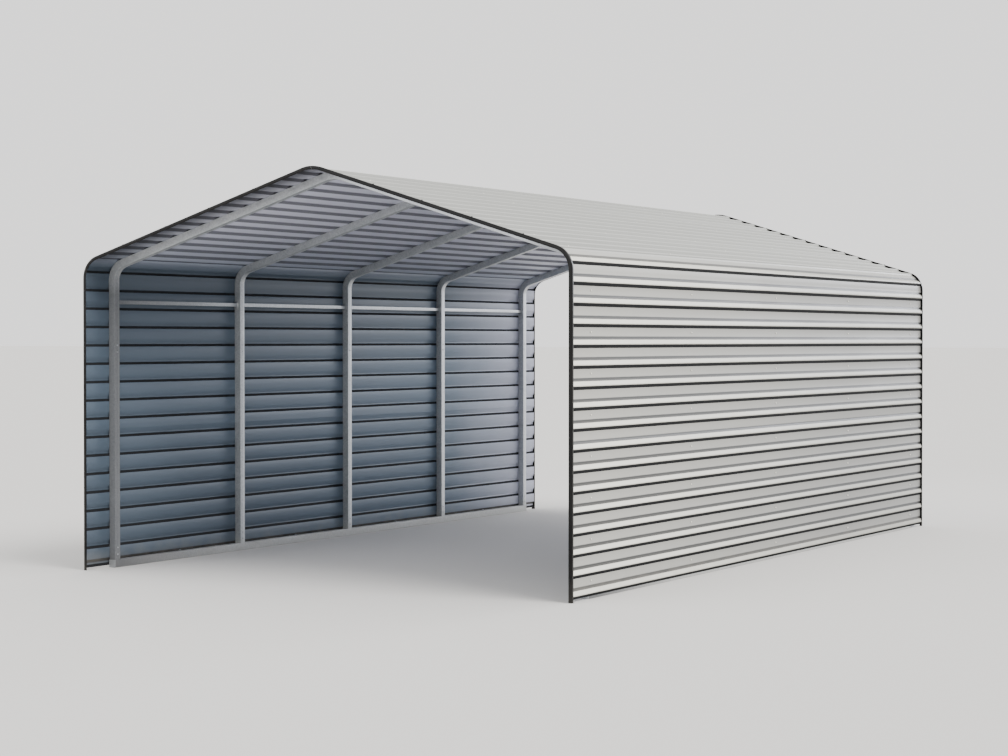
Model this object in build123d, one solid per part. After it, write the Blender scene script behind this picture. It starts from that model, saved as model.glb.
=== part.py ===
from build123d import *
import math
import os

os.makedirs("parts", exist_ok=True)

# Overall sizes of the carport, in millimetres
overall_width = 3600.0
overall_length = 6000.0
overall_height = 2560.0
roof_pitch = 17.35
eave_radius = 150.0
ridge_radius = 240.0

# Corrugated sheet, measured up the wall and over the roof
sheet_thickness = 0.25
rib_pitch = 120.0
rib_depth = 14.0
rib_lower_flank = 10.0
rib_crest = 12.0
rib_upper_flank = 28.0
sheet_foot = 16.0
foot_strip = 6.0
ridge_ribs = 4
lap_lip = 8.0
lap_step = 12.0
lap_end = 20.0
arc_step = 10.5
mark_margin = 0.5

# Edge trim round each open end
trim_thickness = 0.8
trim_face = 22.0
trim_flange = 20.0
trim_gap = 0.5
sheet_end_gap = 0.2

# Frames of square tube
frame_count = 5
end_frame_inset = 260.0
tube = 50.0
tube_wall = 1.4
tube_corner = 1.6
bow_upright = 395.0
spigot_slip = 0.2
spigot_length = 120.0
collar = 3.0
eave_bend_ease = 5.0
apex_bend_ease = 20.0
apex_arm = 60.0

# Base rail, its stubs, end caps and anchor holes
stub_length = 100.0
cap_head = 4.0
cap_plug = 30.0
cap_wall = 2.5
anchor_hole = 12.0

# Side rail between the legs
side_rail = 25.0
side_rail_wall = 1.2
side_rail_drop = 145.0
rail_plate = 2.0
rail_plate_height = 60.0

# Derived depths, measured square inward from the outermost outline
crest_depth = trim_thickness + sheet_thickness * 2
pan_depth = crest_depth + rib_depth
half_width = overall_width / 2
half_length = overall_length / 2
pitch_angle = math.radians(roof_pitch)
eave_turn = math.pi / 2 - pitch_angle
rib_base = rib_lower_flank + rib_crest + rib_upper_flank
first_rib = sheet_foot + foot_strip

# Derived stations of the outline, measured up from the ground
peak = overall_height + ridge_radius * (1 / math.cos(pitch_angle) - 1)
eave_height = peak - half_width * math.tan(pitch_angle)
eave_tangent = eave_radius * math.tan(eave_turn / 2)
ridge_tangent = ridge_radius * math.tan(pitch_angle)
wall_end = eave_height - eave_tangent
eave_end = wall_end + eave_radius * eave_turn
roof_run = half_width / math.cos(pitch_angle) - eave_tangent - ridge_tangent
roof_end = eave_end + roof_run
ridge_middle = roof_end + ridge_radius * pitch_angle


def outline(station, depth):
    """Point of the right half outline at a developed station, set in by a depth."""
    if station <= wall_end:
        x, z = half_width, station
        turn = 0.0
    elif station <= eave_end:
        turn = (station - wall_end) / eave_radius
        x = half_width - eave_radius * (1 - math.cos(turn))
        z = wall_end + eave_radius * math.sin(turn)
    elif station <= roof_end:
        turn = eave_turn
        along = station - eave_end
        x = half_width - eave_radius * (1 - math.cos(turn)) - along * math.cos(pitch_angle)
        z = wall_end + eave_radius * math.sin(turn) + along * math.sin(pitch_angle)
    else:
        turn = eave_turn + (station - roof_end) / ridge_radius
        x = ridge_radius * math.cos(turn)
        z = overall_height - ridge_radius * (1 - math.sin(turn))
    return (x - depth * math.cos(turn), z - depth * math.sin(turn))


def on_arc(low, high):
    """True when a stretch of the outline runs over the eave or the ridge."""
    return (high > wall_end and low < eave_end) or high > roof_end


def stations(breaks):
    """Fill the arcs of a list of (station, depth) points with short facets."""
    filled = [breaks[0]]
    for (s0, d0), (s1, d1) in zip(breaks, breaks[1:]):
        pieces = 1
        if on_arc(s0, s1):
            pieces = max(1, math.ceil((s1 - s0) / arc_step))
        for k in range(1, pieces + 1):
            part = k / pieces
            filled.append((s0 + (s1 - s0) * part, d0 + (d1 - d0) * part))
    return filled


def with_mark(breaks, mark):
    """Add a station to a list of (station, depth) points, at the depth it has there."""
    result = [breaks[0]]
    for (s0, d0), (s1, d1) in zip(breaks, breaks[1:]):
        if s0 + mark_margin < mark < s1 - mark_margin:
            result.append((mark, d0 + (d1 - d0) * (mark - s0) / (s1 - s0)))
        result.append((s1, d1))
    return result


def prism(points, y0, y1):
    """Solid between two Y stations from a closed outline of (x, z) points."""
    wire = Wire.make_polygon([Vector(x, y0, z) for x, z in points], close=True)
    return extrude(Face(wire), amount=y1 - y0, dir=(0, 1, 0))


def rib_start(number):
    """Station where the lower flank of a rib leaves the pan."""
    return first_rib + number * rib_pitch


def save(shape, name):
    """Write one node."""
    export_step(shape, "parts/" + name + ".step")


def save_pair(shape, name):
    """Write the right-hand node and its mirror image on the left."""
    save(shape, name.replace("SIDE", "right"))
    save(mirror(shape, about=Plane.YZ), name.replace("SIDE", "left"))


# Whole corrugated line of the right half, from the foot to the middle of the ridge
rib_count = int((ridge_middle - first_rib - rib_base - lap_end) // rib_pitch) + 1
line = [(sheet_foot, pan_depth)]
for number in range(rib_count):
    start = rib_start(number)
    end = start + rib_base
    if number > 0:
        line.append((start - lap_lip, pan_depth))
    line.append((start, pan_depth))
    line.append((start + rib_lower_flank, crest_depth))
    line.append((start + rib_lower_flank + rib_crest, crest_depth))
    line.append((end, pan_depth))
    line.append((end + lap_lip, pan_depth))
    line.append((end + lap_step, pan_depth))
    line.append((end + lap_end, pan_depth))
line.append((ridge_middle, pan_depth))
for arc_mark in (wall_end, eave_end, roof_end):
    line = with_mark(line, arc_mark)
line = stations(line)
inner = [outline(s, d) for s, d in line]
inner_all = inner + [(-x, z) for x, z in reversed(inner[:-1])]


def miters(points):
    """Outward miter vector at every point of a line running up and over to the left."""
    normals = []
    for (x0, z0), (x1, z1) in zip(points, points[1:]):
        length = math.hypot(x1 - x0, z1 - z0)
        normals.append(((z1 - z0) / length, (x0 - x1) / length))
    result = [normals[0]]
    for (ax, az), (bx, bz) in zip(normals, normals[1:]):
        scale = 1 + ax * bx + az * bz
        result.append(((ax + bx) / scale, (az + bz) / scale))
    result.append(normals[-1])
    return result


outward = miters(inner_all)


def sheet(first, last, levels):
    """Bent sheet between two points of the line, lifted by whole sheet thicknesses."""
    lower = []
    upper = []
    for k in range(first, last + 1):
        (x, z), (mx, mz) = inner_all[k], outward[k]
        lift = levels(k) * sheet_thickness
        lower.append((x + mx * lift, z + mz * lift))
        lift += sheet_thickness
        upper.append((x + mx * lift, z + mz * lift))
    end = half_length - trim_thickness - sheet_end_gap
    return prism(lower + upper[::-1], -end, end)


def index_at(station):
    """Index of the point nearest to a station of the right half."""
    return min(range(len(line)), key=lambda k: abs(line[k][0] - station))


# Wall, eave and roof sheets, each lapped over the top rib of the one below
sheet_names = ["wall_lower", "wall_upper", "eave", "roof"]
side_ribs = rib_count - ridge_ribs
lap_ribs = [round(row * side_ribs / len(sheet_names)) for row in range(len(sheet_names) + 1)]
for row, name in enumerate(sheet_names):
    low_rib = rib_start(lap_ribs[row])
    top_rib = rib_start(lap_ribs[row + 1])
    first = index_at(low_rib - lap_lip) if row > 0 else 0
    lifted = index_at(low_rib + rib_base + lap_step) if row > 0 else -1
    last = index_at(top_rib + rib_base + lap_lip)
    piece = sheet(first, last, lambda k: 1 if k <= lifted else 0)
    save_pair(piece, "sheet_" + name + "_SIDE")

# Ridge sheet, lapped over the last rib on both sides
ridge_rib = rib_start(lap_ribs[-1])
ridge_first = index_at(ridge_rib - lap_lip)
ridge_lifted = index_at(ridge_rib + rib_base + lap_step)
ridge_last = len(inner_all) - 1 - ridge_first
mirror_lifted = len(inner_all) - 1 - ridge_lifted
ridge = sheet(ridge_first, ridge_last, lambda k: 1 if k <= ridge_lifted or k >= mirror_lifted else 0)
save(ridge, "sheet_ridge")


def band(outer_depth, inner_depth):
    """Closed outline between two depths, from the ground to the ridge."""
    marks = [(0.0, 0.0), (wall_end, 0.0), (eave_end, 0.0), (roof_end, 0.0), (ridge_middle, 0.0)]
    path = [s for s, d in stations(marks)]
    outer_line = [outline(s, outer_depth) for s in path]
    inner_line = [outline(s, inner_depth) for s in path]
    shifted = [(max(x, trim_gap), z) for x, z in outer_line + inner_line[::-1]]
    return shifted


# Angle trim over the sheet ends at the front and the rear
for end_name, facing in (("front", -1), ("rear", 1)):
    edge = facing * half_length
    face = prism(band(0.0, trim_face), edge, edge - facing * trim_thickness)
    flange = prism(band(0.0, trim_thickness), edge, edge - facing * trim_flange)
    save_pair(face + flange, "trim_" + end_name + "_SIDE")


def square(size, corner):
    """Square with its corners cut back."""
    return chamfer(Rectangle(size, size).vertices(), corner)


def ring(size, wall, corner):
    """Section of a square tube."""
    return square(size, corner) - Rectangle(size - 2 * wall, size - 2 * wall)


def sleeve(size, wall):
    """Section of a reduced end that is hidden inside the next tube."""
    return Rectangle(size, size) - Rectangle(size - 2 * wall, size - 2 * wall)


spigot = tube - 2 * tube_wall - 2 * spigot_slip
spigot_bore = spigot - 2 * tube_wall
tube_depth = pan_depth + tube / 2
leg_x = half_width - tube_depth


def straight(section, origin, direction, length):
    """Prism of a section along a direction in the plane of the frame."""
    place = Plane(origin=origin, x_dir=(0, 1, 0), z_dir=direction)
    return extrude(place * section, amount=length, dir=direction)


def swage(origin, direction):
    """Reduced end that leaves a tube at a point and slides into the next tube."""
    back = Vector(*direction) * -collar
    start = Vector(*origin) + back
    shoulder = square(tube, tube_corner) - Rectangle(spigot_bore, spigot_bore)
    neck = sleeve(spigot, tube_wall)
    solid = straight(shoulder, start, direction, collar)
    return solid + straight(neck, start, direction, collar + spigot_length)


def arc_points(radius, centre, start_turn, end_turn):
    """Start, middle and end of an arc given by its outward turn from the X axis."""
    turns = (start_turn, (start_turn + end_turn) / 2, end_turn)
    return [(centre[0] + radius * math.cos(t), centre[1] + radius * math.sin(t)) for t in turns]


# Centre lines of the bow and of the ridge bend
up_slope = (-math.cos(pitch_angle), math.sin(pitch_angle))
axis_peak = peak - tube_depth / math.cos(pitch_angle)
axis_eave = axis_peak - leg_x * math.tan(pitch_angle)
bow_radius = eave_radius - tube_depth + eave_bend_ease
bow_tangent = bow_radius * math.tan(eave_turn / 2)
bow_centre = (leg_x - bow_radius, axis_eave - bow_tangent)
leg_top = bow_centre[1] - bow_upright
apex_radius = ridge_radius - tube_depth + apex_bend_ease
apex_tangent = apex_radius * math.tan(pitch_angle)
apex_centre = (0.0, axis_peak - apex_radius / math.cos(pitch_angle))
rafter_length = leg_x / math.cos(pitch_angle) - bow_tangent - apex_tangent - apex_arm


def frame_pieces(y):
    """Leg, bow and ridge connector of the frame that stands at a Y station."""
    leg = extrude(Plane.XY.offset(tube) * ring(tube, tube_wall, tube_corner), amount=leg_top - tube)
    leg = Pos(leg_x, y, 0) * leg
    low = Vector(leg_x, y, leg_top)
    bend = [Vector(x, y, z) for x, z in arc_points(bow_radius, bow_centre, 0.0, eave_turn)]
    high = bend[2] + Vector(up_slope[0], 0, up_slope[1]) * rafter_length
    first = Edge.make_line(low, bend[0])
    middle = Edge.make_three_point_arc(bend[0], bend[1], bend[2])
    path = Wire([first, middle, Edge.make_line(bend[2], high)])
    section = Plane(origin=low, x_dir=(0, 1, 0), z_dir=(0, 0, 1)) * ring(tube, tube_wall, tube_corner)
    bow = sweep(section, path=path) + swage(low, (0, 0, -1))
    turns = (eave_turn, math.pi - eave_turn)
    crown = [Vector(x, y, z) for x, z in arc_points(apex_radius, apex_centre, *turns)]
    down_left = Vector(-math.cos(pitch_angle), 0, -math.sin(pitch_angle))
    down_right = Vector(math.cos(pitch_angle), 0, -math.sin(pitch_angle))
    right_end = crown[0] + down_right * apex_arm
    left_end = crown[2] + down_left * apex_arm
    rise = Edge.make_line(right_end, crown[0])
    turn = Edge.make_three_point_arc(crown[0], crown[1], crown[2])
    path = Wire([rise, turn, Edge.make_line(crown[2], left_end)])
    start = Plane(origin=right_end, x_dir=(0, 1, 0), z_dir=tuple(-down_right))
    apex = sweep(start * ring(tube, tube_wall, tube_corner), path=path)
    apex = apex + swage(tuple(right_end), tuple(down_right))
    apex = apex + swage(tuple(left_end), tuple(down_left))
    return leg, bow, apex


frame_pitch = (overall_length - 2 * end_frame_inset) / (frame_count - 1)
frame_stations = [(k - (frame_count - 1) / 2) * frame_pitch for k in range(frame_count)]
for number, y in enumerate(frame_stations, start=1):
    leg, bow, apex = frame_pieces(y)
    save_pair(leg, "leg_SIDE_" + str(number))
    save_pair(bow, "bow_SIDE_" + str(number))
    save(apex, "apex_" + str(number))

# Base rail on the ground from the first leg to the last, with a welded stub inside every leg
rail_end = frame_stations[-1] + tube / 2
rail_section = Plane(origin=(leg_x, -rail_end, tube / 2), x_dir=(1, 0, 0), z_dir=(0, 1, 0))
base_rail = extrude(rail_section * ring(tube, tube_wall, tube_corner), amount=2 * rail_end, dir=(0, 1, 0))
for y in frame_stations:
    stub = sleeve(spigot, tube_wall)
    foot = Plane(origin=(leg_x, y, tube - tube_wall), x_dir=(1, 0, 0), z_dir=(0, 0, 1))
    base_rail = base_rail + extrude(foot * stub, amount=tube_wall + stub_length)
for y0, y1 in zip(frame_stations, frame_stations[1:]):
    base_rail = base_rail - Pos(leg_x, (y0 + y1) / 2, tube / 2) * Cylinder(anchor_hole / 2, 2 * tube)
save_pair(base_rail, "base_rail_SIDE")

# Plastic caps in the ends of the base rails
caps = None
for facing in (-1, 1):
    place = Plane(origin=(leg_x, facing * rail_end, tube / 2), x_dir=(1, 0, 0), z_dir=(0, facing, 0))
    head = extrude(place * square(tube, tube_corner), amount=cap_head, dir=(0, facing, 0))
    plug = extrude(place * sleeve(spigot, cap_wall), amount=cap_plug, dir=(0, -facing, 0))
    cap = head + plug
    caps = cap if caps is None else caps + cap
save_pair(caps, "end_caps_SIDE")

# Side rail between neighbouring legs, with a welded plate at each end
rails = None
rail_x = half_width - pan_depth - side_rail / 2
side_rail_height = bow_centre[1] - side_rail_drop
for y0, y1 in zip(frame_stations, frame_stations[1:]):
    start = y0 + tube / 2
    length = y1 - y0 - tube
    place = Plane(origin=(rail_x, start, side_rail_height), x_dir=(1, 0, 0), z_dir=(0, 1, 0))
    tube_piece = place * ring(side_rail, side_rail_wall, side_rail_wall)
    segment = extrude(tube_piece, amount=length, dir=(0, 1, 0))
    plate = Box(side_rail, rail_plate, rail_plate_height)
    for y in (start + rail_plate / 2, start + length - rail_plate / 2):
        segment = segment + Pos(rail_x, y, side_rail_height) * plate
    rails = segment if rails is None else rails + segment
save_pair(rails, "side_rail_SIDE")
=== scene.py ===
import math
import bmesh
import bpy
from mathutils import Matrix, Vector


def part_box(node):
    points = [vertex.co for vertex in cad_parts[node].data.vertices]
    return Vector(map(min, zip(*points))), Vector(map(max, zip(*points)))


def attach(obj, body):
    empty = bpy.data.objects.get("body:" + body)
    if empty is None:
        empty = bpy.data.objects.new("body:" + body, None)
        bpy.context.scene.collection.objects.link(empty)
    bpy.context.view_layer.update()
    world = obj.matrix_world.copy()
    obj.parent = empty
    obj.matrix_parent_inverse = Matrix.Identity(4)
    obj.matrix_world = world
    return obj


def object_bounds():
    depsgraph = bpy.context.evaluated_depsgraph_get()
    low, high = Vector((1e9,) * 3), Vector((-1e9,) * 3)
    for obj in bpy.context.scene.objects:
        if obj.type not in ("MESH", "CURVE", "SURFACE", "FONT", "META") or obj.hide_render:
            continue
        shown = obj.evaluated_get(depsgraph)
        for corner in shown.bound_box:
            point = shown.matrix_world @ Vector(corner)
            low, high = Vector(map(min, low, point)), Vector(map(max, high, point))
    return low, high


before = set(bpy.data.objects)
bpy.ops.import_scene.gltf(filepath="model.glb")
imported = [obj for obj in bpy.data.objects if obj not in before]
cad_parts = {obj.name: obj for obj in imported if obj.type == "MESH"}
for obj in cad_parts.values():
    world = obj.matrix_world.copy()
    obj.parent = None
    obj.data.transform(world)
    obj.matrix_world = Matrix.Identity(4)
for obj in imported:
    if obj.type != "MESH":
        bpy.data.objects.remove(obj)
cad_low, cad_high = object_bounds()

# Rays are cast at the frame further down, to seat the screws, so it has to be up to date
bpy.context.view_layer.update()

# Camera at eye height off the right front corner, so that the open front and the whole length
# of the right wall both show. A long lens keeps the uprights parallel.
camera_place = Vector((7.65, -13.95, 1.50))
camera_aim = Vector((-0.37, 0.0, 1.22))
camera = bpy.data.objects.new("camera", bpy.data.cameras.new("camera"))
camera.data.sensor_width = 36
camera.data.lens = 78
camera.data.clip_end = 1000
camera.location = camera_place
camera.rotation_euler = (camera_aim - camera_place).to_track_quat("-Z", "Y").to_euler()
bpy.context.scene.collection.objects.link(camera)
bpy.context.scene.camera = camera


# Base rails: 50 mm square tubes on the ground under both walls, with a welded stub under every leg.
# Roll-formed and welded from galvanised strip, so flat zinc crystals show all over, with a thin
# bright weld line along one face. They are dusty near the ground, and painted shade darkens them
# at the front end.
zinc_dark = "#A6AAAE"
zinc_light = "#CDD0D2"
zinc_weld = "#ECEEEE"
ground_dust = "#9C978C"
painted_shade_slate = "#3A3C42"
spangle = 0.009
spangle_contrast = 0.6
weather_patch = 0.35
weather_contrast = 0.5
weld_core = 0.0008
weld_edge = 0.0018
weld_bead = 0.0003
seam_offset = 0.012
dust_wander = 0.16
dust_bottom = -0.07
dust_top = 0.06
dust_cover = 0.40
# Painted shade on the tubes at the front end, below the eave
tube_shade_full = cad_low.y + 0.3
tube_shade_end = cad_low.y + 1.4
tube_shade_fading = 1.8
tube_shade_top = 2.1
tube_shade_cover = 0.70
smoothest_zinc = 0.44
roughest_zinc = 0.54
dirt_and_shade_roughening = 0.5
clean_shine = 0.75
dulled_shine = 0.35
joining_distance = 0.00002
rail_low, rail_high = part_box("base_rail_right")
leg_line = (rail_low.x + rail_high.x) / 2
rail_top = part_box("leg_right_1")[0].z
seam_line = leg_line - seam_offset


def linear(code):
    """Linear RGBA from an sRGB hex colour."""
    channels = [int(code[k:k + 2], 16) / 255 for k in (1, 3, 5)]
    return [c / 12.92 if c <= 0.04045 else ((c + 0.055) / 1.055) ** 2.4 for c in channels] + [1.0]


def node(tree, kind, inputs=(), **settings):
    """Adds a node with its settings; an input is a value, or a socket that is linked to it."""
    made = tree.nodes.new(kind)
    for key, value in settings.items():
        setattr(made, key, value)
    for key, value in dict(inputs).items():
        if isinstance(value, bpy.types.NodeSocket):
            tree.links.new(value, made.inputs[key])
        else:
            made.inputs[key].default_value = value
    return made.outputs


def new_finish(name, values):
    """A material whose constant surface values sit on the shader itself."""
    finish = bpy.data.materials.new(name)
    finish.use_nodes = True
    shader = finish.node_tree.nodes["Principled BSDF"]
    for key, value in values.items():
        shader.inputs[key].default_value = value
    return finish, finish.node_tree, shader


def galvanised_tube(name, axis, line, period):
    """Galvanised tube a season old, with its weld line at a place on an axis and again each period."""
    finish, tree, shader = new_finish(name, {})
    place = node(tree, "ShaderNodeTexCoord")["Object"]
    sides = node(tree, "ShaderNodeSeparateXYZ", {0: place})
    crystals = node(tree, "ShaderNodeTexVoronoi", {"Vector": place, "Scale": 1 / spangle})["Color"]
    crystal = node(tree, "ShaderNodeSeparateColor", {0: crystals})[0]
    cloud = node(tree, "ShaderNodeTexNoise", {"Vector": place, "Scale": 1 / weather_patch,
                                              "Detail": 4.0})[0]
    tone = node(tree, "ShaderNodeMath", {0: crystal, 1: spangle_contrast}, operation="MULTIPLY")[0]
    tone = node(tree, "ShaderNodeMath", {0: cloud, 1: weather_contrast, 2: tone},
                operation="MULTIPLY_ADD")[0]
    zinc = node(tree, "ShaderNodeMix", {0: tone, 6: linear(zinc_dark), 7: linear(zinc_light)},
                data_type="RGBA")[2]

    # The bright line where the strip's edges are welded
    across = node(tree, "ShaderNodeMath", {0: sides[axis], 1: line}, operation="SUBTRACT")[0]
    across = node(tree, "ShaderNodeMath", {0: across, 1: period / 2, 2: -period / 2},
                  operation="WRAP")[0]
    across = node(tree, "ShaderNodeMath", {0: across}, operation="ABSOLUTE")[0]
    weld = node(tree, "ShaderNodeMapRange", {0: across, 1: weld_core, 2: weld_edge, 3: 1.0, 4: 0.0})[0]
    zinc = node(tree, "ShaderNodeMix", {0: weld, 6: zinc, 7: linear(zinc_weld)}, data_type="RGBA")[2]

    # Dust near the ground, and painted shade on what stands at the front end, up to the eave
    height = node(tree, "ShaderNodeMath", {0: cloud, 1: -dust_wander, 2: sides["Z"]},
                  operation="MULTIPLY_ADD")[0]
    dust = node(tree, "ShaderNodeMapRange", {0: height, 1: dust_bottom, 2: dust_top, 3: dust_cover,
                                             4: 0.0}, interpolation_type="SMOOTHSTEP")[0]
    zinc = node(tree, "ShaderNodeMix", {0: dust, 6: zinc, 7: linear(ground_dust)}, data_type="RGBA")[2]
    tube_shade = node(tree, "ShaderNodeMapRange", {0: sides["Y"], 1: tube_shade_full, 2: tube_shade_end,
                                              3: tube_shade_cover, 4: 0.0})[0]
    below_eave = node(tree, "ShaderNodeMapRange", {0: sides["Z"], 1: tube_shade_fading, 2: tube_shade_top,
                                                   3: 1.0, 4: 0.0})[0]
    tube_shade = node(tree, "ShaderNodeMath", {0: tube_shade, 1: below_eave}, operation="MULTIPLY")[0]
    zinc = node(tree, "ShaderNodeMix", {0: tube_shade, 6: zinc, 7: linear(painted_shade_slate)}, data_type="RGBA")[2]
    dust_and_painted_shade = node(tree, "ShaderNodeMath", {0: dust, 1: tube_shade}, operation="MAXIMUM")[0]
    matt = node(tree, "ShaderNodeMapRange", {0: crystal, 3: smoothest_zinc, 4: roughest_zinc})[0]
    matt = node(tree, "ShaderNodeMath", {0: dust_and_painted_shade, 1: dirt_and_shade_roughening, 2: matt},
                operation="MULTIPLY_ADD")[0]
    shine = node(tree, "ShaderNodeMapRange", {0: dust_and_painted_shade, 2: dust_cover, 3: clean_shine,
                                              4: dulled_shine})[0]
    bead = node(tree, "ShaderNodeBump", {"Height": weld, "Distance": weld_bead, "Strength": 1.0})[0]
    tree.links.new(zinc, shader.inputs["Base Color"])
    tree.links.new(shine, shader.inputs["Metallic"])
    tree.links.new(matt, shader.inputs["Roughness"])
    tree.links.new(bead, shader.inputs["Normal"])
    return finish


def dress(nodes, finish):
    """Gives frame nodes their finish."""
    for name in nodes:
        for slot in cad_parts[name].material_slots:
            slot.material = finish


def rounded_look(nodes, sharp_angle, flat_faces=True):
    """Joins the loose triangles of frame nodes and shades across edges blunter than an angle."""
    tree = bpy.data.node_groups.new("rounded_look", "GeometryNodeTree")
    tree.interface.new_socket("Geometry", in_out="INPUT", socket_type="NodeSocketGeometry")
    tree.interface.new_socket("Geometry", in_out="OUTPUT", socket_type="NodeSocketGeometry")
    loose = node(tree, "NodeGroupInput")[0]
    joined = node(tree, "GeometryNodeMergeByDistance", {"Geometry": loose,
                                                        "Distance": joining_distance})[0]
    smooth = node(tree, "GeometryNodeSetShadeSmooth", {"Geometry": joined, "Shade Smooth": True},
                  domain="FACE")[0]
    turn = node(tree, "GeometryNodeInputMeshEdgeAngle")[0]
    sharp = node(tree, "FunctionNodeCompare", {0: turn, 1: sharp_angle}, operation="GREATER_THAN")[0]
    creased = node(tree, "GeometryNodeSetShadeSmooth", {"Geometry": smooth, "Selection": sharp,
                                                        "Shade Smooth": False}, domain="EDGE")[0]
    plain = node(tree, "GeometryNodeSetMeshNormal", {"Mesh": creased, "Remove Custom": True},
                 mode="SHARPNESS")[0]
    node(tree, "NodeGroupOutput", {0: plain})
    for name in nodes:
        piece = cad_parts[name]
        piece.modifiers.new("rounded_look", "NODES").node_group = tree
        if flat_faces:
            piece.modifiers.new("flat_faces", "WEIGHTED_NORMAL").keep_sharp = True


tube_crease = math.radians(50)
both_sides = ("left", "right")
base_rails = ["base_rail_" + side for side in both_sides]
rail_zinc = galvanised_tube("galvanised_strip_rail", "X", seam_line, 2 * seam_line)
dress(base_rails, rail_zinc)


# Ground bolts: M10 hex bolts with a wide washer, dropped through the base rail in every bay.
# Cold-headed steel, zinc plated, so they are brighter and smoother than the tube.
plated_steel = "#B4B6B8"
plating_cloud = 0.004
# Nearly all values of a noise pattern lie between these two
noise_low = 0.3
noise_high = 0.7
dull_plating = 0.42
bright_plating = 0.26
bolt_across_flats = 0.016
bolt_head = 0.0064
bolt_shank = 0.005
bolt_sunk = 0.0005
bolt_short = 0.001
bolt_turn = 7
washer_radius = 0.013
washer_thickness = 0.002
washer_bevel_from = 0.75
washer_top = 0.96
head_chamfer = 0.07
facing_up = 0.9
washer_sides = 24
shank_sides = 12
frame_numbers = range(1, 6)
frame_lines = [sum(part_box("leg_right_%d" % k)[end].y for end in (0, 1)) / 2 for k in frame_numbers]
bay_middles = [(y0 + y1) / 2 for y0, y1 in zip(frame_lines, frame_lines[1:])]


def zinc_plated(name, colour):
    """Bright zinc plating, faintly clouded by handling and weather."""
    finish, tree, shader = new_finish(name, {"Metallic": 1.0})
    place = node(tree, "ShaderNodeTexCoord")["Object"]
    cloud = node(tree, "ShaderNodeTexNoise", {"Vector": place, "Scale": 1 / plating_cloud,
                                              "Detail": 3.0})[0]
    bright = node(tree, "ShaderNodeMapRange", {0: cloud, 1: noise_low, 2: noise_high})[0]
    zinc = node(tree, "ShaderNodeMix", {0: bright, 6: linear(zinc_dark), 7: linear(colour)},
                data_type="RGBA")[2]
    matt = node(tree, "ShaderNodeMapRange", {0: bright, 3: dull_plating, 4: bright_plating})[0]
    tree.links.new(zinc, shader.inputs["Base Color"])
    tree.links.new(matt, shader.inputs["Roughness"])
    return finish


def add_hexagon(shape, across_flats, low, high):
    """Adds a hexagon head whose top edge is chamfered."""
    radius = across_flats / math.sqrt(3)
    middle = Matrix.Translation((0, 0, (low + high) / 2))
    made = bmesh.ops.create_cone(shape, cap_ends=True, segments=6, radius1=radius, radius2=radius,
                                 depth=high - low, matrix=middle)
    top = [f for f in {f for v in made["verts"] for f in v.link_faces} if f.normal.z > facing_up]
    bmesh.ops.bevel(shape, geom=top[0].edges[:], offset=across_flats * head_chamfer,
                    offset_type="OFFSET", segments=1, profile=0.5, affect="EDGES", material=-1)


def add_disc(shape, low_radius, high_radius, low, high, sides):
    """Adds a washer, flange or shank that stands on the Z axis."""
    middle = Matrix.Translation((0, 0, (low + high) / 2))
    bmesh.ops.create_cone(shape, cap_ends=True, segments=sides, radius1=low_radius,
                          radius2=high_radius, depth=high - low, matrix=middle)


def seated(point, outward, turn=0.0):
    """Placing of a fastener that sits on a surface point with its head outward."""
    facing = Vector(outward).to_track_quat("Z", "Y").to_matrix().to_4x4()
    return Matrix.Translation(point) @ facing @ Matrix.Rotation(turn, 4, "Z")


def repeated(shape, places):
    """A bmesh that holds a shape at every placing."""
    pattern = bpy.data.meshes.new("pattern")
    shape.normal_update()
    shape.to_mesh(pattern)
    shape.free()
    joined = bmesh.new()
    for place in places:
        single = pattern.copy()
        single.transform(place)
        joined.from_mesh(single)
        bpy.data.meshes.remove(single)
    bpy.data.meshes.remove(pattern)
    return joined


def fitted_piece(name, shape, finish):
    """Makes a finished shape a piece that stands with the building."""
    mesh = bpy.data.meshes.new(name)
    shape.to_mesh(mesh)
    shape.free()
    mesh.materials.append(finish)
    piece = bpy.data.objects.new(name, mesh)
    bpy.context.scene.collection.objects.link(piece)
    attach(piece, "root")


bolt = bmesh.new()
washer_bevel = washer_thickness * washer_bevel_from
add_disc(bolt, washer_radius, washer_radius, 0.0, washer_bevel, washer_sides)
add_disc(bolt, washer_radius, washer_radius * washer_top, washer_bevel, washer_thickness,
         washer_sides)
add_disc(bolt, bolt_shank, bolt_shank, bolt_short - rail_top, bolt_sunk, shank_sides)
# The chamfered head comes last: a shape added after it has its faces in another order each run
add_hexagon(bolt, bolt_across_flats, washer_thickness, washer_thickness + bolt_head)
bolt_places = [seated((side * leg_line, y, rail_top), (0, 0, 1), side * y * bolt_turn)
               for side in (-1, 1) for y in bay_middles]
bolt_zinc = zinc_plated("zinc_plated_bolt", plated_steel)
fitted_piece("ground_bolts", repeated(bolt, bolt_places), bolt_zinc)


# Legs: square tubes that stand over the stubs of the base rails, one pair to every frame.
# Each is pinned to its stub by two self-drilling screws driven through the inner face.
# Screws stop at any angle, so every head is turned its own way.
screw_across_flats = 0.008
screw_head = 0.0042
screw_flange = 0.0055
flange_top = 0.82
flange_thickness = 0.0012
flange_sides = 12
head_foot = 0.6
foot_screw_heights = (0.035, 0.080)
foot_turn = 1.3
foot_height_turn = 40
frame_pitch = frame_lines[1] - frame_lines[0]
frame_zinc = galvanised_tube("galvanised_strip_frame", "Y", seam_offset, frame_pitch)
legs = ["leg_%s_%d" % (side, k) for side in both_sides for k in frame_numbers]
dress(legs, frame_zinc)


def met_by(name, start, direction):
    """Point and outward direction where a line from a start first meets a frame node."""
    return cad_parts[name].ray_cast(start, direction)[1:3]


def screw_shape(head_above):
    """Hex washer head of a self-drilling screw, seated on the Z axis above a washer."""
    shape = bmesh.new()
    add_disc(shape, screw_flange, screw_flange * flange_top, head_above,
             head_above + flange_thickness, flange_sides)
    add_hexagon(shape, screw_across_flats, head_above + flange_thickness * head_foot,
                head_above + screw_head)
    return shape


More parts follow.
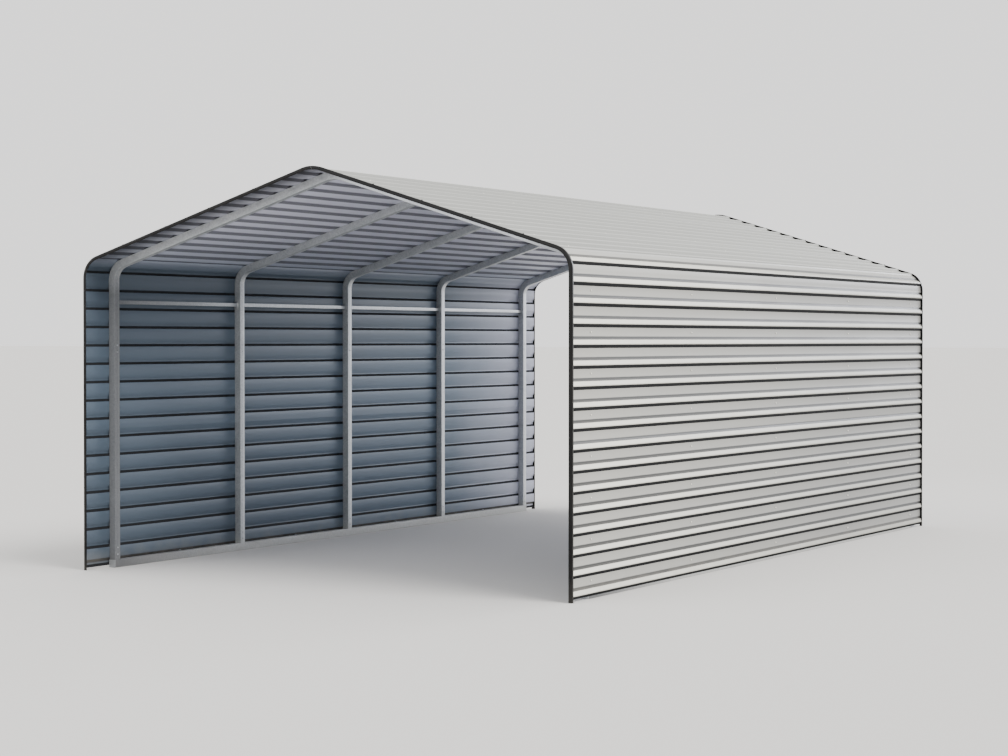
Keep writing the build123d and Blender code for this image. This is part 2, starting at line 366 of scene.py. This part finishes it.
screw_zinc = zinc_plated("zinc_plated_screw", plated_steel)
foot_places = []
for side, sign in zip(both_sides, (-1, 1)):
    for k, y in zip(frame_numbers, frame_lines):
        for height in foot_screw_heights:
            start = (0, y, rail_top + height)
            point, outward = met_by("leg_%s_%d" % (side, k), start, (sign, 0, 0))
            foot_places.append(seated(point, outward, k * foot_turn + height * foot_height_turn))
fitted_piece("leg_foot_screws", repeated(screw_shape(0.0), foot_places), screw_zinc)


# Bows: one bent tube to each half frame, upright, eave bend and rafter in one length.
# The reduced lower end slides into the leg, where two screws below the collar hold it.
joint_screw_drops = (0.035, 0.080)
joint_turn = 0.9
joint_drop_turn = 30
leg_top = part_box("leg_right_1")[1].z
bows = ["bow_%s_%d" % (side, k) for side in both_sides for k in frame_numbers]
dress(bows, frame_zinc)
joint_places = []
for side, sign in zip(both_sides, (-1, 1)):
    for k, y in zip(frame_numbers, frame_lines):
        for drop in joint_screw_drops:
            point, outward = met_by("leg_%s_%d" % (side, k), (0, y, leg_top - drop), (sign, 0, 0))
            joint_places.append(seated(point, outward, k * joint_turn + drop * joint_drop_turn))
fitted_piece("leg_joint_screws", repeated(screw_shape(0.0), joint_places), screw_zinc)


# Ridge connectors: short bent tubes with a reduced end on each side that slides into the rafters.
# Two screws through the underside of every rafter hold them.
ridge_screw_steps = (0.035, 0.080)
ridge_turn = 1.7
ridge_step_turn = 50
ridge_connectors = ["apex_%d" % k for k in frame_numbers]
dress(ridge_connectors, frame_zinc)
rafter_places = []
for side, sign in zip(both_sides, (-1, 1)):
    for k, y in zip(frame_numbers, frame_lines):
        bow_low, bow_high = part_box("bow_%s_%d" % (side, k))
        upper_end = bow_low.x if sign > 0 else bow_high.x
        for step in ridge_screw_steps:
            start = (upper_end + sign * step, y, leg_top)
            point, outward = met_by("bow_%s_%d" % (side, k), start, (0, 0, 1))
            rafter_places.append(seated(point, outward, k * ridge_turn + step * ridge_step_turn))
fitted_piece("rafter_screws", repeated(screw_shape(0.0), rafter_places), screw_zinc)
rounded_look(base_rails + legs + bows + ridge_connectors, tube_crease)


# Side rails: 25 mm tubes between the legs at shoulder height, with a plate welded to each end.
# Each plate is screwed to the leg above and below the tube. The weld is a small even fillet,
# touched up with zinc paint, so it is duller than the tube.
weld_paint = "#A7A9A9"
side_rail_size = 0.025
plate_thickness = 0.002
plate_screw_reach = 0.0213
plate_turn = 60
weld_leg = 0.003
weld_toe = 0.0003
weld_clearance = 0.0002
side_rails = ["side_rail_" + side for side in both_sides]
dress(side_rails, rail_zinc)
rail_box_low, rail_box_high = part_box("side_rail_right")
side_rail_line = (rail_box_low.x + rail_box_high.x) / 2
side_rail_height = (rail_box_low.z + rail_box_high.z) / 2
half_tube = (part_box("leg_right_1")[1].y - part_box("leg_right_1")[0].y) / 2
plate_inset = half_tube + plate_thickness
plate_places = []
weld_places = []
for sign in (-1, 1):
    for y0, y1 in zip(frame_lines, frame_lines[1:]):
        for y, facing in ((y0 + plate_inset, 1), (y1 - plate_inset, -1)):
            middle = Vector((sign * side_rail_line, y, side_rail_height))
            weld_places.append(seated(middle, (0, facing, 0)))
            for reach in (-plate_screw_reach, plate_screw_reach):
                point = middle + Vector((0, 0, reach))
                plate_places.append(seated(point, (0, facing, 0), y + reach * plate_turn))
fitted_piece("side_rail_screws", repeated(screw_shape(0.0), plate_places), screw_zinc)

fillet = bmesh.new()
foot_radius = (side_rail_size / 2 + weld_leg) * math.sqrt(2)
neck_radius = (side_rail_size / 2 + weld_toe) * math.sqrt(2)
round_the_tube = Matrix.Translation((0, 0, weld_leg / 2)) @ Matrix.Rotation(math.pi / 4, 4, "Z")
bmesh.ops.create_cone(fillet, cap_ends=False, segments=4, radius1=foot_radius,
                      radius2=neck_radius, depth=weld_leg, matrix=round_the_tube)
bmesh.ops.subdivide_edges(fillet, edges=fillet.edges[:], cuts=3, use_grid_fill=True)
weld_zinc = zinc_plated("cold_galvanised_weld", weld_paint)
welds = repeated(fillet, weld_places)
for sign in (-1, 1):
    outer_plane = sign * (rail_box_high.x - weld_clearance)
    everything = welds.verts[:] + welds.edges[:] + welds.faces[:]
    bmesh.ops.bisect_plane(welds, geom=everything, plane_co=(outer_plane, 0, 0),
                           plane_no=(sign, 0, 0), clear_outer=True)
fitted_piece("side_rail_welds", welds, weld_zinc)
rounded_look(side_rails, tube_crease)


# End caps: push-in caps that close both ends of the base rails, under the outer legs.
# Injection-moulded grey polyethylene, so they are matt, with pale scuffs and a fine moulded grain.
# The real grain is about 0.2 mm and wouldn't show, so it is drawn at 1.2 mm.
cap_grey = "#8B8E90"
cap_scuff = "#B5B7B8"
cap_grain = 0.0012
cap_grain_depth = 0.0001
scuff_size = 0.02
scuff_low = 0.55
scuff_high = 0.75
scuff_cover = 0.4
smoothest_cap = 0.50
roughest_cap = 0.68
end_caps = ["end_caps_" + side for side in both_sides]
cap_plastic, tree, shader = new_finish("moulded_polyethylene", {})
place = node(tree, "ShaderNodeTexCoord")["Object"]
grain = node(tree, "ShaderNodeTexNoise", {"Vector": place, "Scale": 1 / cap_grain, "Detail": 2.0})[0]
scuffs = node(tree, "ShaderNodeTexNoise", {"Vector": place, "Scale": 1 / scuff_size, "Detail": 5.0})[0]
scuffed = node(tree, "ShaderNodeMapRange", {0: scuffs, 1: scuff_low, 2: scuff_high,
                                            4: scuff_cover})[0]
colour = node(tree, "ShaderNodeMix", {0: scuffed, 6: linear(cap_grey), 7: linear(cap_scuff)},
              data_type="RGBA")[2]
matt = node(tree, "ShaderNodeMapRange", {0: scuffs, 1: noise_low, 2: noise_high, 3: smoothest_cap,
                                         4: roughest_cap})[0]
bump = node(tree, "ShaderNodeBump", {"Height": grain, "Distance": cap_grain_depth, "Strength": 0.6})[0]
tree.links.new(colour, shader.inputs["Base Color"])
tree.links.new(matt, shader.inputs["Roughness"])
tree.links.new(bump, shader.inputs["Normal"])
dress(end_caps, cap_plastic)
rounded_look(end_caps, tube_crease)


# Sheets: 0.25 mm steel roll-formed with a rib every 120 mm, lapped one over the next like shingles.
# Coil coated before forming: satin cream outside, inside a backing coat painted dark blue-grey as
# shade. Dark lines of painted shade follow the ribs, films of dirt, painted shade and painted light
# lie on both faces, and the sheet waves between its fixings.
cream_coat = "#E6E5DA"
backing_coat_with_painted_shade = "#738597"
rib_pitch = 0.120
first_rib = 0.022
rib_base = 0.050
eave_radius = 0.150
ridge_radius = 0.240
roof_pitch = math.radians(17.35)
inside_middle = 1.2
half_width = cad_high.x
ridge_peak = cad_high.z + ridge_radius * (1 / math.cos(roof_pitch) - 1)
eave_turn = math.pi / 2 - roof_pitch
eave_tangent = eave_radius * math.tan(eave_turn / 2)
ridge_tangent = ridge_radius * math.tan(roof_pitch)
wall_end = ridge_peak - half_width * math.tan(roof_pitch) - eave_tangent
eave_end = wall_end + eave_radius * eave_turn
roof_end = eave_end + half_width / math.cos(roof_pitch) - eave_tangent - ridge_tangent
roof_foot = half_width - eave_radius * (1 - math.sin(roof_pitch))
sheet_rows = ("wall_lower", "wall_upper", "eave", "roof")
sheets = ["sheet_%s_%s" % (row, side) for row in sheet_rows for side in both_sides]
sheets.append("sheet_ridge")
cream_sheet, skin, skin_shader = new_finish("coil_coated_cream", {"IOR": 1.5,
                                                                  "Specular IOR Level": 0.3})
coords = node(skin, "ShaderNodeTexCoord")
place = coords["Object"]
sides = node(skin, "ShaderNodeSeparateXYZ", {0: place})

# The outside is every face that looks away from the middle of the building
spoke = node(skin, "ShaderNodeVectorMath", {0: place, 1: (0, 0, inside_middle)},
             operation="SUBTRACT")[0]
spoke = node(skin, "ShaderNodeVectorMath", {0: spoke, 1: (1, 0, 1)}, operation="MULTIPLY")[0]
outward = node(skin, "ShaderNodeVectorMath", {0: spoke, 1: coords["Normal"]},
               operation="DOT_PRODUCT")["Value"]
outside = node(skin, "ShaderNodeMath", {0: outward, 1: 0.0}, operation="GREATER_THAN")[0]
inside = node(skin, "ShaderNodeMath", {0: 1.0, 1: outside}, operation="SUBTRACT")[0]

# How far the sheet has turned: upright on the walls, overhead on the roof slopes
overhead_begins = 0.5
roof_lean = math.cos(roof_pitch)
lean = node(skin, "ShaderNodeMapRange", {0: sides["Z"], 1: wall_end, 2: wall_end + eave_radius})[0]
lean = node(skin, "ShaderNodeMath", {0: lean, 1: roof_lean}, operation="MINIMUM")[0]
overhead = node(skin, "ShaderNodeMapRange", {0: lean, 1: overhead_begins, 2: roof_lean})[0]
upright = node(skin, "ShaderNodeMath", {0: 1.0, 1: overhead}, operation="SUBTRACT")[0]

# The developed distance up the wall, round the eave and up the roof, which the ribs follow
ragged_edge = 0.05
ragged_reach = 0.002
noise_middle = (noise_low + noise_high) / 2
wall_part = node(skin, "ShaderNodeMath", {0: sides["Z"], 1: wall_end}, operation="MINIMUM")[0]
bend = node(skin, "ShaderNodeMath", {0: lean}, operation="ARCSINE")[0]
station = node(skin, "ShaderNodeMath", {0: bend, 1: eave_radius, 2: wall_part},
               operation="MULTIPLY_ADD")[0]
width = node(skin, "ShaderNodeMath", {0: sides["X"]}, operation="ABSOLUTE")[0]
slope = node(skin, "ShaderNodeMapRange", {0: width, 1: roof_foot, 2: 0.0,
                                          4: roof_foot / math.cos(roof_pitch)})[0]
station = node(skin, "ShaderNodeMath", {0: station, 1: slope}, operation="ADD")[0]
edge = node(skin, "ShaderNodeTexNoise", {"Vector": place, "Scale": 1 / ragged_edge, "Detail": 5.0})[0]
edge = node(skin, "ShaderNodeMath", {0: edge, 1: noise_middle}, operation="SUBTRACT")[0]
station = node(skin, "ShaderNodeMath", {0: edge, 1: ragged_reach, 2: station},
               operation="MULTIPLY_ADD")[0]


def rib_band(edges, fade, cover):
    """Painted shade between two heights in every rib, which fades out over its upper edge."""
    low, high = edges
    shifted = node(skin, "ShaderNodeMath", {0: station, 1: first_rib + low}, operation="SUBTRACT")[0]
    height = node(skin, "ShaderNodeMath", {0: shifted, 1: rib_pitch, 2: 0.0}, operation="WRAP")[0]
    return node(skin, "ShaderNodeMapRange", {0: height, 1: high - low - fade, 2: high - low,
                                             3: cover, 4: 0.0})[0]


def dirt_and_painted_light(coat, film, where, colour):
    """The coat under a film that holds in one place only, and how thick the film is there. Dirt,
    painted shade and painted light all use it.
    """
    held = node(skin, "ShaderNodeMath", {0: film, 1: where}, operation="MULTIPLY")[0]
    covered = node(skin, "ShaderNodeMix", {0: held, 6: coat, 7: linear(colour)}, data_type="RGBA")[2]
    return covered, held


# Two coats, faintly faded in patches; the outside of the roof is made greyer, and its painted rib
# shade fainter
roof_grey = "#66707C"
roof_grey_cover = 0.48
roof_rib_shade = 0.32
fade_patch = 0.7
most_faded = 0.985
least_faded = 1.01
# The inside colour is painted shade: a dark blue-grey in place of the backing coat's own pale grey
coat = node(skin, "ShaderNodeMix", {0: outside, 6: linear(backing_coat_with_painted_shade), 7: linear(cream_coat)},
            data_type="RGBA")[2]
cloud = node(skin, "ShaderNodeTexNoise", {"Vector": place, "Scale": 1 / fade_patch, "Detail": 4.0})[0]
fade = node(skin, "ShaderNodeMapRange", {0: cloud, 1: noise_low, 2: noise_high, 3: most_faded,
                                         4: least_faded})[0]
coat = node(skin, "ShaderNodeVectorMath", {0: coat, "Scale": fade}, operation="SCALE")[0]
roof_greying = node(skin, "ShaderNodeMapRange", {0: overhead, 4: roof_grey_cover})[0]
coat = dirt_and_painted_light(coat, roof_greying, outside, roof_grey)[0]
outer_shade_on_roof = node(skin, "ShaderNodeMapRange", {0: overhead, 3: 1.0, 4: roof_rib_shade})[0]
outer_shade_strength = node(skin, "ShaderNodeMath", {0: outer_shade_on_roof, 1: outside}, operation="MULTIPLY")[0]

# Inside, painted light makes the underside of the roof pale, most of it near the ridge
painted_light_pale = "#D8D9EA"
ceiling_light_at_eave = 0.50
full_ceiling_light_width = 0.9
ceiling_light = node(skin, "ShaderNodeMapRange", {0: width, 1: roof_foot, 2: full_ceiling_light_width,
                                          3: ceiling_light_at_eave, 4: 1.0})[0]
ceiling_light = node(skin, "ShaderNodeMath", {0: ceiling_light, 1: overhead}, operation="MULTIPLY")[0]
coat = dirt_and_painted_light(coat, ceiling_light, inside, painted_light_pale)[0]

# Painted shade darkens the walls under the eave inside, and spray off the wet ground darkens their
# foot
painted_shade_blue = "#1C2027"
eave_shade_foot = 1.25
eave_shade_cover = 0.42
ground_spray = "#2B2E33"
spray_top = 1.1
spray_full = 0.1
spray_cover = 0.34
eave_shade = node(skin, "ShaderNodeMapRange", {0: sides["Z"], 1: eave_shade_foot, 2: wall_end, 3: 0.0,
                                          4: eave_shade_cover})[0]
eave_shade = node(skin, "ShaderNodeMath", {0: eave_shade, 1: upright}, operation="MULTIPLY")[0]
coat = dirt_and_painted_light(coat, eave_shade, inside, painted_shade_blue)[0]
sprayed = node(skin, "ShaderNodeMapRange", {0: sides["Z"], 1: spray_top, 2: spray_full, 3: 0.0,
                                            4: spray_cover})[0]
coat = dirt_and_painted_light(coat, sprayed, inside, ground_spray)[0]

# Painted shade lies on the walls towards the front end, thickest under the front edge of the roof.
# Painted light makes the coat pale at the rear end.
painted_wander = 0.7
front_shade_end = 0.85
front_shade_cover = 0.50
rear_painted_light_start = 1.9
rear_painted_light_cover = 0.72
mouth_full = cad_low.y + 0.05
mouth_end = cad_low.y + 0.5
mouth_cover = 0.85
along = node(skin, "ShaderNodeMath", {0: cloud, 1: painted_wander, 2: sides["Y"]},
             operation="MULTIPLY_ADD")[0]
front_shade = node(skin, "ShaderNodeMapRange", {0: along, 1: cad_low.y + painted_wander / 2, 2: front_shade_end,
                                          3: front_shade_cover, 4: 0.0})[0]
front_shade = node(skin, "ShaderNodeMath", {0: front_shade, 1: upright}, operation="MULTIPLY")[0]
coat = dirt_and_painted_light(coat, front_shade, inside, painted_shade_blue)[0]
rear_painted_light = node(skin, "ShaderNodeMapRange", {0: along, 1: rear_painted_light_start, 2: cad_high.y + painted_wander / 2,
                                           3: 0.0, 4: rear_painted_light_cover})[0]
rear_painted_light = node(skin, "ShaderNodeMath", {0: rear_painted_light, 1: upright}, operation="MULTIPLY")[0]
coat = dirt_and_painted_light(coat, rear_painted_light, inside, painted_light_pale)[0]
mouth_shade = node(skin, "ShaderNodeMapRange", {0: sides["Y"], 1: mouth_full, 2: mouth_end,
                                          3: mouth_cover, 4: 0.0})[0]
mouth_shade = node(skin, "ShaderNodeMath", {0: mouth_shade, 1: overhead}, operation="MULTIPLY")[0]
coat = dirt_and_painted_light(coat, mouth_shade, inside, painted_shade_blue)[0]

# Outside, painted shade makes the walls greyer towards the rear end
rear_shade_start = -2.4
rear_shade_full = 1.6
rear_shade_cover = 0.55
rear_shade = node(skin, "ShaderNodeMapRange", {0: along, 1: rear_shade_start, 2: rear_shade_full, 3: 0.0,
                                          4: rear_shade_cover})[0]
rear_shade = node(skin, "ShaderNodeMath", {0: rear_shade, 1: upright}, operation="MULTIPLY")[0]
coat = dirt_and_painted_light(coat, rear_shade, outside, painted_shade_slate)[0]

# Painted shade: a dark line on the sheet just over the base rail, and outside grey in the pans and a
# dark line on their lower edge
painted_rib_shade = "#17181B"
painted_pan_shade = "#6F7073"
inner_roof_lines = 0.74
rail_line_middle = rail_top + 0.006
rail_line_reach = 0.010
pan_edges = (rib_base, rib_base + 0.072)
pan_fade = 0.004
pan_cover = 0.60
upper_line_edges = (rib_base - 0.010, rib_base + 0.012)
upper_line_cover = 0.92
line_fade = 0.005
inner_shade_on_roof = node(skin, "ShaderNodeMapRange", {0: overhead, 3: 1.0, 4: inner_roof_lines})[0]
inner_shade_strength = node(skin, "ShaderNodeMath", {0: inner_shade_on_roof, 1: inside}, operation="MULTIPLY")[0]
rail_line_shade = node(skin, "ShaderNodeMath", {0: sides["Z"], 1: rail_line_middle, 2: rail_line_reach},
             operation="COMPARE")[0]
coat = dirt_and_painted_light(coat, rail_line_shade, inner_shade_strength, painted_rib_shade)[0]
coat = dirt_and_painted_light(coat, rib_band(pan_edges, pan_fade, pan_cover), outer_shade_strength, painted_pan_shade)[0]
coat = dirt_and_painted_light(coat, rib_band(upper_line_edges, line_fade, upper_line_cover), outer_shade_strength, painted_rib_shade)[0]

# Rain splashes soil on the foot of the walls
soil = "#96928A"
splash_size = 0.12
splash_wander = 0.20
splash_bottom = -0.10
splash_top = 0.06
splash_cover = 0.25
splash = node(skin, "ShaderNodeTexNoise", {"Vector": place, "Scale": 1 / splash_size,
                                           "Detail": 5.0})[0]
height = node(skin, "ShaderNodeMath", {0: splash, 1: -splash_wander, 2: sides["Z"]},
              operation="MULTIPLY_ADD")[0]
dust = node(skin, "ShaderNodeMapRange", {0: height, 1: splash_bottom, 2: splash_top,
                                         3: splash_cover, 4: 0.0},
            interpolation_type="SMOOTHSTEP")[0]
coat = node(skin, "ShaderNodeMix", {0: dust, 6: coat, 7: linear(soil)}, data_type="RGBA")[2]

# The steep lower flank of each rib gets a dark line of painted shade, inside and out. The flank is
# 10 mm wide, and its line is drawn about twice as wide, so that it shows.
outer_line_edges = (-0.009, 0.015)
outer_line_cover = 1.0
inner_line_edges = (-0.006, 0.014)
inner_line_cover = 0.98
coat, outer_line = dirt_and_painted_light(coat, rib_band(outer_line_edges, line_fade, outer_line_cover),
                          outer_shade_strength, painted_rib_shade)
coat, inner_line = dirt_and_painted_light(coat, rib_band(inner_line_edges, line_fade, inner_line_cover),
                          inner_shade_strength, painted_rib_shade)

# Satin where clean, matt where soiled and along the painted shade lines, and gently waved between the
# fixings
wave_length = 0.42
wave_stretch = 0.7
wave_depth = 0.003
smoothest_coat = 0.40
roughest_coat = 0.46
soil_roughening = 0.6
matt = node(skin, "ShaderNodeMapRange", {0: cloud, 1: noise_low, 2: noise_high, 3: smoothest_coat,
                                         4: roughest_coat})[0]
matt = node(skin, "ShaderNodeMath", {0: dust, 1: soil_roughening, 2: matt},
            operation="MULTIPLY_ADD")[0]
painted_lines = node(skin, "ShaderNodeMath", {0: outer_line, 1: inner_line}, operation="ADD")[0]
matt = node(skin, "ShaderNodeMath", {0: painted_lines, 1: dirt_and_shade_roughening, 2: matt},
            operation="MULTIPLY_ADD")[0]
wave_place = node(skin, "ShaderNodeMapping", {"Vector": place, "Scale": (1.0, wave_stretch, 1.0)})[0]
wave = node(skin, "ShaderNodeTexNoise", {"Vector": wave_place, "Scale": 1 / wave_length,
                                         "Detail": 1.5})[0]
waved = node(skin, "ShaderNodeBump", {"Height": wave, "Distance": wave_depth, "Strength": 0.7})[0]
skin.links.new(coat, skin_shader.inputs["Base Color"])
skin.links.new(matt, skin_shader.inputs["Roughness"])
skin.links.new(waved, skin_shader.inputs["Normal"])
sheet_crease = math.radians(15)
dress(sheets, cream_sheet)
rounded_look(sheets, sheet_crease)


# Sheet screws: self-drilling screws with a bonded rubber washer, in every second pan on each frame.
# Heads are powder coated to match the sheet, chipped to the zinc here and there. The grey rubber,
# matt and paler where it has weathered, shows as a thin ring round each one.
rubber_dark = "#55585A"
rubber_bloom = "#7B7E80"
rubber_thickness = 0.0012
rubber_radius = 0.0070
rubber_top = 0.93
rubber_sides = 12
rubber_cloud = 0.003
chip_size = 0.0025
chip_low = 0.62
chip_high = 0.70
chip_cover = 0.8
chipped_steel = "#8C9093"
pan_depth = 0.01505
sheet_screw_turn = 5
pan_middle = first_rib + (rib_base + rib_pitch) / 2


def on_skin(side, y, distance, depth):
    """Point and outward direction of the skin, a developed distance up from the ground."""
    if distance < wall_end:
        outward = Vector((side, 0, 0))
        point = Vector((side * half_width, y, distance))
    else:
        outward = Vector((side * math.sin(roof_pitch), 0, math.cos(roof_pitch)))
        start = Vector((side * (half_width - eave_radius), y, wall_end)) + outward * eave_radius
        up_slope = Vector((-side * math.cos(roof_pitch), 0, math.sin(roof_pitch)))
        point = start + up_slope * (distance - eave_end)
    return point - outward * depth, outward


pans = [pan_middle + k * rib_pitch for k in range(math.ceil(roof_end / rib_pitch))]
wall_pans = [s for s in pans if s < wall_end][::2]
roof_pans = [s for s in pans if eave_end < s < roof_end][::2]
sheet_places = [seated(*on_skin(side, y, s, pan_depth), turn=y + s * sheet_screw_turn)
                for side in (-1, 1) for y in frame_lines for s in wall_pans + roof_pans]
rubber, tree, shader = new_finish("bonded_rubber", {"Roughness": 0.75})
place = node(tree, "ShaderNodeTexCoord")["Object"]
bloom = node(tree, "ShaderNodeTexNoise", {"Vector": place, "Scale": 1 / rubber_cloud})[0]
colour = node(tree, "ShaderNodeMix", {0: bloom, 6: linear(rubber_dark), 7: linear(rubber_bloom)},
              data_type="RGBA")[2]
tree.links.new(colour, shader.inputs["Base Color"])
ring = bmesh.new()
add_disc(ring, rubber_radius, rubber_radius * rubber_top, 0.0, rubber_thickness, rubber_sides)
fitted_piece("sheet_screw_washers", repeated(ring, sheet_places), rubber)

painted_head, tree, shader = new_finish("powder_coated_screw", {"Roughness": 0.35})
place = node(tree, "ShaderNodeTexCoord")["Object"]
chips = node(tree, "ShaderNodeTexNoise", {"Vector": place, "Scale": 1 / chip_size, "Detail": 4.0})[0]
chipped = node(tree, "ShaderNodeMapRange", {0: chips, 1: chip_low, 2: chip_high, 4: chip_cover})[0]
colour = node(tree, "ShaderNodeMix", {0: chipped, 6: linear(cream_coat), 7: linear(chipped_steel)},
              data_type="RGBA")[2]
tree.links.new(colour, shader.inputs["Base Color"])
fitted_piece("sheet_screws", repeated(screw_shape(rubber_thickness), sheet_places), painted_head)


# Edge trims: folded steel angles that cover the sheet ends round both open ends.
# Coil coated black, satin, with a little pale dust. On the slopes a black screw holds the flange
# down on every third rib.
trim_coat = "#0C0C0D"
trim_patch = 0.25
trim_dust_low = 0.4
trim_dust_high = 0.75
trim_dust = 0.02
trim_splash = 0.12
trim_splash_wander = 0.25
trim_splash_bottom = -0.14
trim_splash_top = 0.02
smoothest_trim = 0.38
roughest_trim = 0.60
trim_screw_inset = 0.011
trim_screw_turn = 9
crest_in_rib = 0.016
trims = ["trim_%s_%s" % (end, side) for end in ("front", "rear") for side in both_sides]
black_sheet, tree, shader = new_finish("coil_coated_black", {"IOR": 1.5, "Specular IOR Level": 0.2})
place = node(tree, "ShaderNodeTexCoord")["Object"]
sides = node(tree, "ShaderNodeSeparateXYZ", {0: place})
cloud = node(tree, "ShaderNodeTexNoise", {"Vector": place, "Scale": 1 / trim_patch, "Detail": 5.0})[0]
film = node(tree, "ShaderNodeMapRange", {0: cloud, 1: trim_dust_low, 2: trim_dust_high,
                                         4: trim_dust})[0]
height = node(tree, "ShaderNodeMath", {0: cloud, 1: -trim_splash_wander, 2: sides["Z"]},
              operation="MULTIPLY_ADD")[0]
dust = node(tree, "ShaderNodeMapRange", {0: height, 1: trim_splash_bottom, 2: trim_splash_top,
                                         3: trim_splash, 4: 0.0},
            interpolation_type="SMOOTHSTEP")[0]
film = node(tree, "ShaderNodeMath", {0: film, 1: dust}, operation="MAXIMUM")[0]
colour = node(tree, "ShaderNodeMix", {0: film, 6: linear(trim_coat), 7: linear(soil)},
              data_type="RGBA")[2]
matt = node(tree, "ShaderNodeMapRange", {0: film, 2: trim_splash, 3: smoothest_trim,
                                         4: roughest_trim})[0]
tree.links.new(colour, shader.inputs["Base Color"])
tree.links.new(matt, shader.inputs["Roughness"])
dress(trims, black_sheet)
rounded_look(trims, sheet_crease, flat_faces=False)

crests = [s - pan_middle + first_rib + crest_in_rib for s in pans]
trim_crests = [s for s in crests if eave_end + rib_pitch < s < roof_end - rib_pitch][::3]
trim_lines = (trim_screw_inset - cad_high.y, cad_high.y - trim_screw_inset)
trim_places = [seated(*on_skin(side, y, s, 0.0), turn=s * trim_screw_turn)
               for side in (-1, 1) for y in trim_lines for s in trim_crests]
fitted_piece("trim_screws", repeated(screw_shape(0.0), trim_places), black_sheet)


# Floor and light: a plain pale floor that meets a sky about as bright as itself, one wide soft sun
# high on the right, and two soft spots, in front and behind, that reach in under the roof.
floor_pale = "#CFCECC"
floor_reach = 400
floor_drop = 0.0006
sun_white = "#FFFCF8"
sun_place = (12.0, -2.0, 14.2)
sun_power = 3.2
sun_softness = math.radians(35)
spot_white = "#F2F6FF"
front_spot_place = (-5.0, -17.0, 5.0)
front_spot_power = 2400
rear_spot_place = (4.5, 15.0, 5.0)
rear_spot_power = 4400
spot_radius = 3.0
spot_angle = math.radians(48)
sky_white = "#F6F5F4"
sky_strength = 1.7
light_aim = Vector((0, 0, 1.2))
floor_shape = bmesh.new()
bmesh.ops.create_grid(floor_shape, x_segments=1, y_segments=1, size=floor_reach)
floor_mesh = bpy.data.meshes.new("floor")
floor_shape.to_mesh(floor_mesh)
floor_shape.free()
floor = bpy.data.objects.new("floor", floor_mesh)
floor.location.z = -floor_drop
bpy.context.scene.collection.objects.link(floor)
floor_values = {"Base Color": linear(floor_pale), "Roughness": 0.95, "Specular IOR Level": 0.1}
floor_mesh.materials.append(new_finish("pale_floor", floor_values)[0])


def aimed_light(name, kind, place, power, colour):
    """A light that faces the middle of the building."""
    light = bpy.data.objects.new(name, bpy.data.lights.new(name, kind))
    light.data.energy = power
    light.data.color = linear(colour)[:3]
    light.location = place
    light.rotation_euler = (light_aim - Vector(place)).to_track_quat("-Z", "Y").to_euler()
    bpy.context.scene.collection.objects.link(light)
    return light.data


sun = aimed_light("high_light", "SUN", sun_place, sun_power, sun_white)
sun.angle = sun_softness
front_spot = aimed_light("front_light", "SPOT", front_spot_place, front_spot_power, spot_white)
rear_spot = aimed_light("rear_light", "SPOT", rear_spot_place, rear_spot_power, spot_white)
for spot in (front_spot, rear_spot):
    spot.shadow_soft_size = spot_radius
    spot.spot_size = spot_angle
    spot.spot_blend = 1.0
world = bpy.data.worlds.new("pale_sky")
world.use_nodes = True
world.node_tree.nodes["Background"].inputs["Color"].default_value = linear(sky_white)
world.node_tree.nodes["Background"].inputs["Strength"].default_value = sky_strength
bpy.context.scene.world = world
